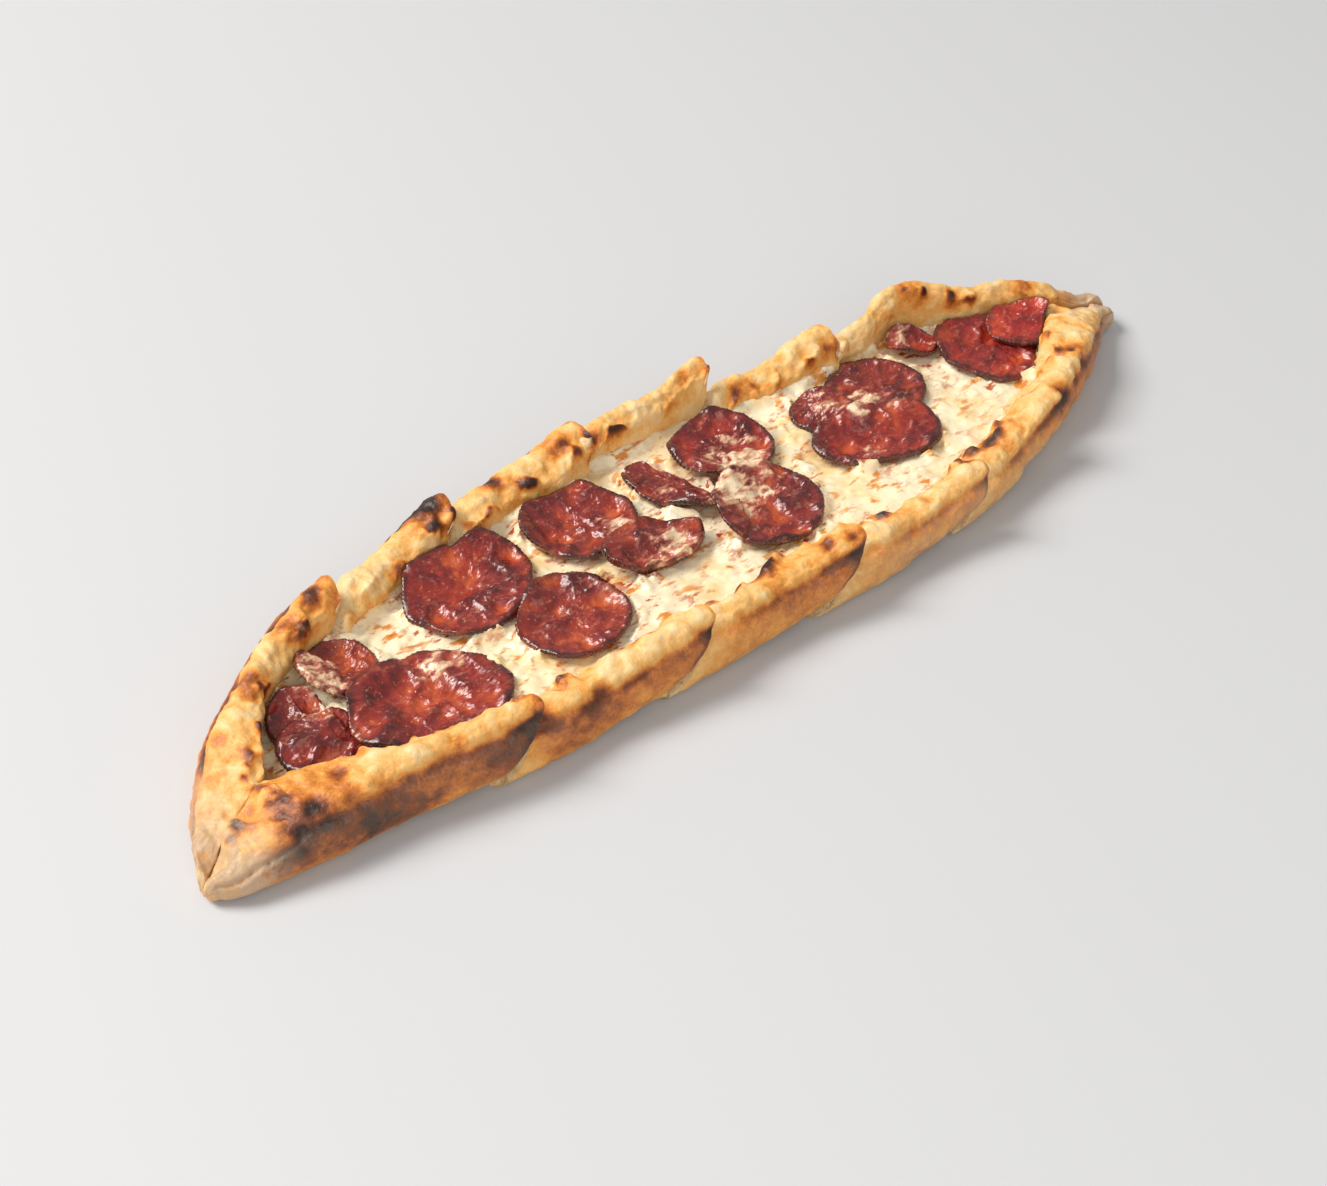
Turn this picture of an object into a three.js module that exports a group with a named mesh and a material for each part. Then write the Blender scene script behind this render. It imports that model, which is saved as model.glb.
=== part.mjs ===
// A Turkish pide: a long boat of leavened dough whose rim is folded in over the filling and pinched shut
// at both tips. It holds melted cheese under slices of sucuk, and it is cut on the bias into slices that
// still keep the boat's shape. Millimetres. +X runs along the boat, +Y across it, +Z up. The origin is
// the middle of the bounding box, on the surface that the pide lies on.

import * as THREE from "three";

const { clamp, degToRad, lerp, smoothstep } = THREE.MathUtils;

// The boat's outline: its length, its width amidships, and how full each end is before it closes to a
// blunt tip.
const LENGTH = 448;
const WIDTH = 120;
const LEFT_END = { power: 2.6, fullness: 0.62, tip: 7 };
const RIGHT_END = { power: 2.3, fullness: 0.85, tip: 9 };

// The centreline isn't straight: it swings from one side to the other, and the left tip bends back.
const BOW = { offset: -2.57, swing: 10.5, turn: 25, reach: 70, bendFrom: -150, bend: 22 };

// The bias cuts: where each crosses the centreline at the cheese's level, its slope across the boat (dx
// per dy), and its lean (dx per dz), by which the slice on its left overhangs the slice on its right.
const CUTS = [
  { x: -131, skew: -0.2, lean: 1.0 },
  { x: -70, skew: -0.27, lean: 1.1 },
  { x: -5, skew: -0.28, lean: 1.1 },
  { x: 59, skew: -0.31, lean: 0.7 },
  { x: 116, skew: -0.38, lean: 0.45 },
];
const CUT_GAP = 0.5;

// Towards its right end a slice's rims are lifted off the surface below by up to this much. The lift
// starts at a share along the slice, and it grows between two shares of the way out from the centreline.
const LIFT = { height: 4, start: 0.35, from: 0.45, to: 0.85 };

// The dough: the floor under the filling, and each slice's rims. A rim rises to its height, and its flap
// is folded in by that width. A narrow flap is a rim that stands up.
const FLOOR = 6;
const LIP_DROP = 3.6;
const RIMS = [
  { far: { height: 24, flap: 14.5 }, near: { height: 22, flap: 15 } },
  { far: { height: 22, flap: 16 }, near: { height: 21, flap: 15 } },
  { far: { height: 22, flap: 17.5 }, near: { height: 22, flap: 16 } },
  { far: { height: 24, flap: 11 }, near: { height: 20.5, flap: 15 } },
  { far: { height: 21, flap: 14.5 }, near: { height: 21.5, flap: 16 } },
  { far: { height: 25.5, flap: 10 }, near: { height: 22, flap: 16 } },
];
const EAR = { x: 140, spread: 19, rise: 5.5, flare: 6 };
const RIM_WAVE = { height: 0.9, flap: 1.6, length: 17, overtone: 2.3, mix: 0.4 };
const OPENING = { left: -194, right: 198, farTaper: 17, nearTaper: 45, ramp: 9 };
const SEAM = { shift: 7, from: 120, full: 175 };

// The tips: over this run at each end the rims lose a share of their height, and the underside's edges
// turn up.
const TIP = { run: 42, drop: 0.62, keel: 1.4 };
const CREASE = { width: 0.7, depth: 3.2 };

// The rim's section. The outer wall is knots of inset, as a share of the undercut, and of height, as a
// share of the rim's. The brow is on the way to the crest, the flap sags on its way to the lip, and below
// the lip the inner wall stands a little further in.
const UNDERCUT = 7;
const OUTER_WALL = [[1, 0], [0.37, 0.08], [0.06, 0.28], [0, 0.5], [0.14, 0.75]];
const BROW = { inset: 0.5, height: 0.94 };
const CREST = { inset: 7, mostOfFlap: 0.45 };
const SAG = { along: 0.55, drop: 0.4 };
const INNER_WALL = [{ inset: 0.7, drop: 0.35 }, { inset: 0.5, drop: 0.7 }, { inset: 1.5, drop: 1 }];
const UNDERSIDE_LANES = [0.75, 0.38];

// The cheese: its level in the boat, its swell, and the room that it keeps from the dough.
const CHEESE_LEVEL = 11.2;
const CHEESE_SWELL = { height: 0.7, along: 16, across: 12, twist: 40 };
const CHEESE_INSET = 2.3;
const CHEESE_ENDS = { left: -180, right: 184 };
const SEAT = 0.45;

// The sucuk: rounds of sausage, each at a place, with two half-widths, a turn in degrees, and a slope in
// each direction where it leans on the rim or on its neighbour. A curl lifts its edge, and a chord cuts a
// round to a part. Those that come later lie on those before them.
const SUCUK_THICKNESS = 2.2;
const SUCUK_GAP = 0.6;
const COVER = { from: 1.12, reach: 9, fall: 0.5 };
const LEAST_REACH = 0.3;
const REACH_STEP = 0.02;
const EDGE_THICKNESS = 0.75;
const SUCUK = [
  { x: -166.5, y: 16, a: 10, b: 13, turn: -30, slopeY: 0.3, curl: 1 },
  { x: -165, y: -1, a: 17, b: 14, turn: -40, curl: 0.8 },
  { x: -143, y: 26, a: 13, b: 13, turn: 20, slopeY: 0.12, curl: 1 },
  { x: -130.5, y: -6, a: 28, b: 22, turn: -8, curl: 1.2 },
  { x: -86, y: 28, a: 25.5, b: 21, turn: 25, slopeY: 0.24, curl: 1.5 },
  { x: -70.5, y: -8.5, a: 20, b: 19, turn: 0, curl: 1.8 },
  { x: -36, y: 28, a: 20.5, b: 20.5, turn: 0, slopeY: 0.16, curl: 2 },
  { x: -27, y: -2, a: 20, b: 11, turn: -12, curl: 2.2, thickness: 4 },
  { x: 3, y: 20, a: 19, b: 12, turn: 102, curl: 0.5, chord: -4 },
  { x: 31, y: 21, a: 20, b: 17.5, turn: -15, slopeY: 0.18, curl: 2.6 },
  { x: 19.5, y: -14.5, a: 21, b: 19.5, turn: 10, curl: 1.6 },
  { x: 101, y: 7.5, a: 21, b: 19, turn: -5, curl: 1.4 },
  { x: 76, y: 11.5, a: 12, b: 12, turn: 20, curl: 1 },
  { x: 80, y: -13.5, a: 25, b: 15, turn: -24, curl: 1.6 },
  { x: 135, y: 17, a: 11, b: 8, turn: -30, slopeY: 0.5, curl: 1.5 },
  { x: 160.5, y: -5.5, a: 26, b: 22, turn: -22, slopeX: 0.1, slopeY: 0.12, curl: 1 },
  { x: 175, y: -7.5, a: 15.5, b: 13, turn: -20, slopeX: 0.22, slopeY: 0.16, curl: 2 },
];

// How finely each solid is divided.
const MIDDLE_STATIONS = 11;
const END_STATIONS = 21;
const CHEESE_STATIONS = 11;
const CHEESE_LANES = 9;
const SECTORS = 18;
const RINGS = 3;
const PROFILE_STEPS = 11;

const DOUGH = new THREE.MeshStandardMaterial({ color: 0xd9a155, roughness: 0.75, metalness: 0 });
const CHEESE = new THREE.MeshStandardMaterial({ color: 0xf3e3b8, roughness: 0.45, metalness: 0 });
const SAUSAGE = new THREE.MeshStandardMaterial({ color: 0x7a2320, roughness: 0.4, metalness: 0 });

// Half the boat's width at x: the full width times (1 - |t|^power)^fullness, where t runs from 0
// amidships to 1.
function halfWidth(x) {
  const end = x < 0 ? LEFT_END : RIGHT_END;
  const t = Math.min(1, Math.abs(x) / (LENGTH / 2));
  return Math.max(end.tip, (WIDTH / 2) * (1 - t ** end.power) ** end.fullness);
}

// The centreline's y at x: a smooth swing across, less a parabola that bends the left tip back.
function centre(x) {
  const bent = Math.min(0, (x - BOW.bendFrom) / (LENGTH / 2 + BOW.bendFrom));
  return BOW.offset - BOW.swing * Math.tanh((x - BOW.turn) / BOW.reach) - BOW.bend * bent * bent;
}

// A slow uneven wave from -1 to 1, out of two sines whose lengths share no common multiple.
function wave(x, phase) {
  const slow = Math.sin(x / RIM_WAVE.length + phase);
  const quick = Math.sin((RIM_WAVE.overtone * x) / RIM_WAVE.length + 2 * phase);
  return lerp(slow, quick, RIM_WAVE.mix);
}

// How far x is inside the opening between the flaps. A flap draws back along its taper from 0, where the
// tips are pinched shut, to 1 along the boat. Inside the opening the floor drops away over a shorter
// ramp.
const insideOpening = (x) => Math.min(x - OPENING.left, OPENING.right - x);
const openness = (x, taper) => clamp(insideOpening(x) / taper, 0, 1) ** 0.6;
const floorDrop = (x) => smoothstep(insideOpening(x), 0, OPENING.ramp);

// How far off the centreline the flaps meet: at the right end the near one is folded over past the
// middle.
function seam(x) {
  const closing = 1 - smoothstep(x, OPENING.right, LENGTH / 2);
  return SEAM.shift * smoothstep(x, SEAM.from, SEAM.full) * closing;
}

// How far x is along a tip, from 0 where it begins to 1 at its end.
const alongTip = (x) => smoothstep(Math.abs(x), LENGTH / 2 - TIP.run, LENGTH / 2);

// One side's rim at x: its outer edge, centreline, height, and the width and the height of its flap's
// lip.
function rimAt(x, rim, side) {
  const ear = side > 0 ? Math.exp(-(((x - EAR.x) / EAR.spread) ** 2)) : 0;
  const half = halfWidth(x) + EAR.flare * ear;
  const open = openness(x, side > 0 ? OPENING.farTaper : OPENING.nearTaper);
  const crest = rim.height + EAR.rise * ear + RIM_WAVE.height * wave(x, side);
  const height = crest * (1 - TIP.drop * alongTip(x));
  const shut = half - side * seam(x) - CREASE.width / 2;
  const flap = Math.min(shut, lerp(shut, rim.flap + RIM_WAVE.flap * wave(x, 2 + side), open));
  const lip = height - lerp(2, LIP_DROP, open);
  const floor = lerp(lip - CREASE.depth, FLOOR, floorDrop(x));
  return { half, open, height, shut, flap, lip, floor, middle: centre(x), turnUp: TIP.keel * alongTip(x) };
}

// A narrow tip has its section drawn in proportion, and the underside ends that far in from the outer
// edge.
const shrinkOf = (half) => Math.min(1, half / 20);
const underHalf = ({ half }) => half - UNDERCUT * shrinkOf(half);

// The rim's section from the underside's edge, up the outer wall, over the crest and down the flap to the
// floor, as pairs of inset from the outer edge and height. It is the sampled spline through twelve knots.
function rimSection({ half, open, height, shut, flap, lip, floor }) {
  const shrink = shrinkOf(half);
  const crest = Math.min(CREST.inset * shrink, CREST.mostOfFlap * flap);
  const knots = [
    ...OUTER_WALL.map(([inset, rise]) => [UNDERCUT * inset * shrink, rise * height]),
    [BROW.inset * crest, BROW.height * height],
    [crest, height],
    [lerp(crest, flap, SAG.along), lerp(height, lip, SAG.drop)],
    [flap, lip],
    ...INNER_WALL.map(({ inset, drop }) => [flap + inset * open, lerp(lip, floor, drop)]),
  ];
  const spline = new THREE.SplineCurve(knots.map(([inset, z]) => new THREE.Vector2(inset, z)));
  return Array.from({ length: PROFILE_STEPS + 1 }, (_, k) => {
    const point = spline.getPoint(k / PROFILE_STEPS);
    return [Math.min(point.x, shut), Math.max(point.y, 0)];
  });
}

// A slice runs between two cuts, or from a tip to a cut. x at a share along it, at a height and a
// distance off the centreline, follows the nearer cut's skew and lean.
function sliceFrame(index) {
  const left = CUTS[index - 1] ?? { x: -LENGTH / 2, skew: 0, lean: 0 };
  const right = CUTS[index] ?? { x: LENGTH / 2, skew: 0, lean: 0 };
  const from = left.x + (index > 0 ? CUT_GAP / 2 : 0);
  const to = right.x - (index < CUTS.length ? CUT_GAP / 2 : 0);
  const skewAt = (share) => lerp(left.skew, right.skew, share);
  const leanAt = (share) => lerp(left.lean, right.lean, share);
  return {
    index,
    nominal: (share) => lerp(from, to, share),
    shareOf: (x) => (x - from) / (to - from),
    skewAt,
    place: (share, across, z) =>
      lerp(from, to, share) + skewAt(share) * across + leanAt(share) * (z - CHEESE_LEVEL),
    lift: (share, reach) =>
      index < CUTS.length
        ? LIFT.height * smoothstep(share, LIFT.start, 1) * smoothstep(reach, LIFT.from, LIFT.to)
        : 0,
  };
}

// Both rims of a slice at a share along it, each looked up where the skewed station meets that side.
function stationRims(frame, share) {
  const x = frame.nominal(share);
  const sideOf = (side, rim) => rimAt(x + frame.skewAt(share) * side * halfWidth(x), rim, side);
  const rims = RIMS[frame.index];
  return { base: centre(x), far: sideOf(1, rims.far), near: sideOf(-1, rims.near) };
}

// A closed solid from rings of points that all have the same count: a wall between each pair, and a cap
// at each end, cut into triangles in the ring's own section plane (y, z).
function loft(rings) {
  const count = rings[0].length;
  const flat = rings.flat();
  const faces = [];
  for (let i = 0; i + 1 < rings.length; i++) {
    for (let j = 0; j < count; j++) {
      const a = i * count + j;
      const b = i * count + ((j + 1) % count);
      faces.push([a, b, b + count], [a, b + count, a + count]);
    }
  }
  const cap = (ring) => {
    const outline = ring.map((p) => new THREE.Vector2(p.y, p.z));
    return THREE.ShapeUtils.triangulateShape(outline, []);
  };
  const last = (rings.length - 1) * count;
  cap(rings[0]).forEach(([a, b, c]) => faces.push([a, c, b]));
  cap(rings.at(-1)).forEach(([a, b, c]) => faces.push([last + a, last + b, last + c]));
  const geometry = new THREE.BufferGeometry().setFromPoints(flat);
  geometry.setIndex(faces.flat());
  geometry.computeVertexNormals();
  return geometry;
}

// One slice of dough: at each station the far rim, the floor and the near rim make the upper side of the
// ring, and a flat underside closes it. Towards the slice's right end its rims are lifted off the surface
// below.
function doughSlice(index) {
  const frame = sliceFrame(index);
  const isEnd = index === 0 || index === CUTS.length;
  const stations = isEnd ? END_STATIONS : MIDDLE_STATIONS;
  const rings = [];
  for (let i = 0; i <= stations; i++) {
    const share = i / stations;
    const { base, far, near } = stationRims(frame, share);
    const outline = [];
    const add = (side, rim, inset, z) => {
      const reach = (rim.half - inset) / rim.half;
      const lift = frame.lift(share, reach) + rim.turnUp * reach ** 2;
      outline.push([rim.middle + side * (rim.half - inset), z, lift]);
    };
    const addUnderside = (side, rim, reach) => add(side, rim, rim.half - reach * underHalf(rim), 0);
    const farSection = rimSection(far);
    const nearSection = rimSection(near);
    farSection.forEach(([inset, z]) => add(1, far, inset, z));
    outline.push([base + seam(frame.nominal(share)), (far.floor + near.floor) / 2, 0]);
    nearSection.toReversed().forEach(([inset, z]) => add(-1, near, inset, z));
    UNDERSIDE_LANES.forEach((reach) => addUnderside(-1, near, reach));
    UNDERSIDE_LANES.toReversed().forEach((reach) => addUnderside(1, far, reach));
    const toPoint = ([y, z, lift]) => new THREE.Vector3(frame.place(share, y - base, z), y, z + lift);
    rings.push(outline.map(toPoint));
  }
  return loft(rings);
}

// The cheese's upper face over any point: its level, with a low swell.
function cheeseTop(x, y) {
  const { height, along, across, twist } = CHEESE_SWELL;
  return CHEESE_LEVEL + height * Math.sin(x / along + 1) * Math.sin(y / across + x / twist);
}

// One slice's cheese: it fills the trough between the flaps' lips, from just over the dough's floor,
// which is lowest on the centreline, to its own uneven level.
function cheeseSlice(index) {
  const frame = sliceFrame(index);
  const first = index === 0 ? frame.shareOf(CHEESE_ENDS.left) : 0;
  const last = index === CUTS.length ? frame.shareOf(CHEESE_ENDS.right) : 1;
  const rings = [];
  for (let i = 0; i <= CHEESE_STATIONS; i++) {
    const share = lerp(first, last, i / CHEESE_STATIONS);
    const { base, far, near } = stationRims(frame, share);
    const edge = (side, rim) => {
      const reach = rim.half - rim.flap - CHEESE_INSET * rim.open;
      const floor = rim.floor + SEAT + frame.lift(share, reach / rim.half);
      return { y: rim.middle + side * reach, floor };
    };
    const farEdge = edge(1, far);
    const nearEdge = edge(-1, near);
    const ring = [];
    for (let k = 0; k <= CHEESE_LANES; k++) {
      const y = lerp(farEdge.y, nearEdge.y, k / CHEESE_LANES);
      const x = frame.place(share, y - base, CHEESE_LEVEL);
      ring.push(new THREE.Vector3(x, y, cheeseTop(x, y)));
    }
    const middle = { y: base + seam(frame.nominal(share)), floor: (far.floor + near.floor) / 2 + SEAT };
    for (const { y, floor } of [nearEdge, middle, farEdge]) {
      ring.push(new THREE.Vector3(frame.place(share, y - base, floor), y, floor));
    }
    rings.push(ring);
  }
  return loft(rings);
}

// Whether a point at the filling's level lies between the flaps, clear of both by the cheese's inset.
function isBetweenFlaps(x, y) {
  const index = CUTS.filter((cut) => x > cut.x + cut.skew * (y - centre(cut.x))).length;
  const { skewAt } = sliceFrame(index);
  const isClear = (side, rim) => {
    const { half, flap, open, middle } = rimAt(x + side * skewAt(0.5) * rim.flap, rim, side);
    return side * (y - middle) < half - flap - CHEESE_INSET * open;
  };
  return isClear(1, RIMS[index].far) && isClear(-1, RIMS[index].near);
}

// The shape of one round of sucuk: its outline at an angle, its own turned frame, and the height of its
// underside.
function sucukShape(round, below) {
  const turn = degToRad(round.turn);
  const thickness = round.thickness ?? SUCUK_THICKNESS;
  const toPlan = (u, v) => [
    round.x + u * Math.cos(turn) - v * Math.sin(turn),
    round.y + u * Math.sin(turn) + v * Math.cos(turn),
  ];
  const onOutline = (angle, reach) => [
    round.a * reach * Math.cos(angle),
    Math.max(round.b * reach * Math.sin(angle), round.chord ?? -Infinity),
  ];
  const share = (x, y) => {
    const dx = x - round.x;
    const dy = y - round.y;
    const u = dx * Math.cos(turn) + dy * Math.sin(turn);
    const v = dy * Math.cos(turn) - dx * Math.sin(turn);
    return Math.hypot(u / round.a, v / round.b);
  };
  // How far the round reaches at an angle, as a share of its half-widths: a flap in its way presses it
  // in.
  const reachAt = (angle) => {
    const isFree = (reach) => isBetweenFlaps(...toPlan(...onOutline(angle, reach)));
    let reach = 1;
    while (reach > LEAST_REACH && !isFree(reach)) {
      reach -= REACH_STEP;
    }
    return reach;
  };
  // It lies on the cheese and on the rounds below it, or on the slope on which it leans, and its edge
  // curls up.
  const underside = (x, y) => {
    const lean = (round.slopeX ?? 0) * (x - round.x) + (round.slopeY ?? 0) * (y - round.y);
    const rest = cheeseTop(x, y) + SUCUK_GAP;
    const stack = below.map((lower) => lower.coverTop(x, y) + SUCUK_GAP);
    return Math.max(rest + Math.max(0, lean), ...stack) + round.curl * Math.min(1, share(x, y)) ** 4;
  };
  // Its upper face, which falls away past its edge so that a round above bends over it.
  const coverTop = (x, y) => {
    const past = Math.max(0, share(x, y) - COVER.from) * Math.min(round.a, round.b);
    return past > COVER.reach ? -Infinity : underside(x, y) + thickness - COVER.fall * past;
  };
  const at = (angle, ring) => toPlan(...onOutline(angle, (ring / RINGS) * reachAt(angle)));
  return { at, underside, coverTop, thickness };
}

// A round as a solid: rings of points out to its edge, on its underside and on its upper face.
function sucukRound(shape) {
  const points = [];
  const faces = [];
  const node = (ring, sector, upper) => {
    const [x, y] = shape.at((2 * Math.PI * sector) / SECTORS, ring);
    const edge = upper ? shape.thickness * (ring === RINGS ? EDGE_THICKNESS : 1) : 0;
    return new THREE.Vector3(x, y, shape.underside(x, y) + edge);
  };
  const perFace = 1 + RINGS * SECTORS;
  const id = (ring, sector, upper) =>
    (upper ? perFace : 0) + (ring === 0 ? 0 : 1 + (ring - 1) * SECTORS + (sector % SECTORS));
  for (const upper of [false, true]) {
    points.push(node(0, 0, upper));
    for (let ring = 1; ring <= RINGS; ring++) {
      for (let s = 0; s < SECTORS; s++) points.push(node(ring, s, upper));
    }
  }
  const face = (upper, a, b, c) => faces.push(upper ? [a, b, c] : [a, c, b]);
  for (let s = 0; s < SECTORS; s++) {
    for (const upper of [false, true]) {
      face(upper, id(0, 0, upper), id(1, s, upper), id(1, s + 1, upper));
      for (let ring = 1; ring < RINGS; ring++) {
        face(upper, id(ring, s, upper), id(ring + 1, s, upper), id(ring + 1, s + 1, upper));
        face(upper, id(ring, s, upper), id(ring + 1, s + 1, upper), id(ring, s + 1, upper));
      }
    }
    faces.push([id(RINGS, s, false), id(RINGS, s + 1, false), id(RINGS, s + 1, true)]);
    faces.push([id(RINGS, s, false), id(RINGS, s + 1, true), id(RINGS, s, true)]);
  }
  const geometry = new THREE.BufferGeometry().setFromPoints(points);
  geometry.setIndex(faces.flat());
  geometry.computeVertexNormals();
  return geometry;
}

function named(name, geometry, material) {
  const mesh = new THREE.Mesh(geometry, material);
  mesh.name = name;
  return mesh;
}

const pide = new THREE.Group();
for (let index = 0; index <= CUTS.length; index++) {
  pide.add(named(`dough_${index + 1}`, doughSlice(index), DOUGH));
  pide.add(named(`cheese_${index + 1}`, cheeseSlice(index), CHEESE));
}
const placed = [];
SUCUK.forEach((round, index) => {
  const shape = sucukShape(round, placed.slice());
  const number = String(index + 1).padStart(2, "0");
  pide.add(named(`sucuk_${number}`, sucukRound(shape), SAUSAGE));
  placed.push(shape);
});

export default pide;
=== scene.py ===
"""A Turkish pide: a boat of leavened dough, browned and blistered, with melted cheese and slices of sucuk."""
import math
from types import SimpleNamespace

import bpy
import numpy as np
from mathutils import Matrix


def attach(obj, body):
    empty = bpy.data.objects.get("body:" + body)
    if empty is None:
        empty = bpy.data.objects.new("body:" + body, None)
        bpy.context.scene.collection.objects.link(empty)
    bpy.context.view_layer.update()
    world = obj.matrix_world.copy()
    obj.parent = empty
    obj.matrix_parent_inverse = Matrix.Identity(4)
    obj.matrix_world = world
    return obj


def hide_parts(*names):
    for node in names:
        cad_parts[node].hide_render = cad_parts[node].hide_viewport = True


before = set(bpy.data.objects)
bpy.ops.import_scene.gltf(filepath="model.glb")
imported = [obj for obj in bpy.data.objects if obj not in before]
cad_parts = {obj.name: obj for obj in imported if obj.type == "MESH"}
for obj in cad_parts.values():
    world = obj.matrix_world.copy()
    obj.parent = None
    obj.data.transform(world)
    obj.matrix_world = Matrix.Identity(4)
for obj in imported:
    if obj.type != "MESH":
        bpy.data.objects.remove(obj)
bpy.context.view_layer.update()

MM = 0.001

# The boat's sizes, in millimetres: the same values that drive the solids.
LENGTH, WIDTH = 448.0, 120.0
LEFT_END = SimpleNamespace(power=2.6, fullness=0.62, tip=7.0)
RIGHT_END = SimpleNamespace(power=2.3, fullness=0.85, tip=9.0)
BOW = SimpleNamespace(offset=-2.57, swing=10.5, turn=25.0, reach=70.0, bend_from=-150.0, bend=22.0)
CUTS = [
    (-131.0, -0.2, 1.0), (-70.0, -0.27, 1.1), (-5.0, -0.28, 1.1), (59.0, -0.31, 0.7), (116.0, -0.38, 0.45),
]
CUT_GAP = 0.5
LIFT = SimpleNamespace(height=4.0, start=0.35, inner=0.45, outer=0.85)
FLOOR = 6.0
LIP_DROP = 3.6
FAR_RIMS = [(24.0, 14.5), (22.0, 16.0), (22.0, 17.5), (24.0, 11.0), (21.0, 14.5), (25.5, 10.0)]
NEAR_RIMS = [(22.0, 15.0), (21.0, 15.0), (22.0, 16.0), (20.5, 15.0), (21.5, 16.0), (22.0, 16.0)]
EAR = SimpleNamespace(x=140.0, spread=19.0, rise=5.5, flare=6.0)
RIM_WAVE = SimpleNamespace(height=0.9, flap=1.6, length=17.0, overtone=2.3, mix=0.4)
OPENING = SimpleNamespace(left=-194.0, right=198.0, far_taper=17.0, near_taper=45.0, ramp=9.0)
SEAM = SimpleNamespace(shift=7.0, start=120.0, full=175.0)
TIP = SimpleNamespace(run=42.0, drop=0.62, keel=1.4)
CREASE = SimpleNamespace(width=0.7, depth=3.2)
UNDERCUT = 7.0
OUTER_WALL = [(1.0, 0.0), (0.37, 0.08), (0.06, 0.28), (0.0, 0.5), (0.14, 0.75)]
BROW = SimpleNamespace(inset=0.5, height=0.94)
CREST = SimpleNamespace(inset=7.0, most_of_flap=0.45)
SAG = SimpleNamespace(along=0.55, drop=0.4)
INNER_WALL = [(0.7, 0.35), (0.5, 0.7), (1.5, 1.0)]
CHEESE_LEVEL = 11.2
CHEESE_SWELL = SimpleNamespace(height=0.7, along=16.0, across=12.0, twist=40.0)
CHEESE_INSET = 2.3
CHEESE_ENDS = SimpleNamespace(left=-184.0, right=188.0)
SUCUK_THICKNESS = 2.2
SUCUK_GAP = 0.2
COVER = SimpleNamespace(start=1.12, reach=9.0, fall=0.5)


def sucuk(x, y, a, b, turn, curl, slope=(0.0, 0.0), chord=None, thickness=SUCUK_THICKNESS, tone=0.0,
          raised=(0.0, 0.0), fold=0.0):
    """One slice of sausage: place, half-widths, turn in degrees, curl, slopes, and how red it still is.

    A raised edge has a direction in degrees and a height; a fold is the height of a ridge along the slice."""
    return SimpleNamespace(
        x=x, y=y, a=a, b=b, turn=math.radians(turn), curl=curl, slope=slope, chord=chord,
        thickness=thickness, tone=tone, raised=(math.radians(raised[0]), raised[1]), fold=fold,
    )


SUCUK = [
    sucuk(-166.5, 16.0, 10.0, 13.0, -30.0, 1.0, slope=(0.0, 0.3), tone=0.2),
    sucuk(-165.0, -1.0, 17.0, 14.0, -40.0, 0.8, tone=0.1),
    sucuk(-143.0, 26.0, 13.0, 13.0, 20.0, 1.0, slope=(0.0, 0.12)),
    sucuk(-130.5, -6.0, 28.0, 22.0, -8.0, 1.2, tone=0.25, raised=(180.0, 1.6)),
    sucuk(-86.0, 28.0, 25.5, 21.0, 25.0, 1.5, slope=(0.0, 0.24), tone=0.2, raised=(90.0, 1.5)),
    sucuk(-70.5, -8.5, 20.0, 19.0, 0.0, 1.8, raised=(60.0, 1.6)),
    sucuk(-36.0, 28.0, 20.5, 20.5, 0.0, 2.0, slope=(0.0, 0.16), tone=0.15, raised=(136.0, 1.2)),
    sucuk(-27.0, -2.0, 20.0, 11.0, -12.0, 2.2, thickness=4.0, fold=2.6),
    sucuk(3.0, 20.0, 19.0, 12.0, 102.0, 0.5, chord=-4.0, raised=(46.0, 2.0)),
    sucuk(31.0, 21.0, 20.0, 17.5, -15.0, 2.6, slope=(0.0, 0.18), tone=0.3, raised=(46.0, 3.0)),
    sucuk(19.5, -14.5, 21.0, 19.5, 10.0, 1.6, raised=(190.0, 1.2), fold=0.8),
    sucuk(101.0, 7.5, 21.0, 19.0, -5.0, 1.4, raised=(46.0, 1.6)),
    sucuk(76.0, 11.5, 12.0, 12.0, 20.0, 1.0),
    sucuk(80.0, -13.5, 25.0, 15.0, -24.0, 1.6, tone=0.25, raised=(140.0, 1.2), fold=1.0),
    sucuk(135.0, 17.0, 11.0, 8.0, -30.0, 1.5, slope=(0.0, 0.5), tone=0.4),
    sucuk(160.5, -5.5, 26.0, 22.0, -22.0, 1.0, slope=(0.1, 0.12), tone=0.6, raised=(150.0, 1.6)),
    sucuk(175.0, -7.5, 15.5, 13.0, -20.0, 2.0, slope=(0.22, 0.16), tone=1.0, raised=(0.0, 2.4)),
]

# How finely each surface is divided, in millimetres along the boat and in samples across it.
DOUGH_STEP = 0.62
SPAN_SAMPLES = 9
FLOOR_LANES = 8
CUT_ROWS = 12
CHEESE_STEP = 0.7
CHEESE_LANES = 120
CHEESE_CUT_ROWS = 4
SECTORS = 320
TOP_RINGS, BELOW_RINGS = 30, 9

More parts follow.
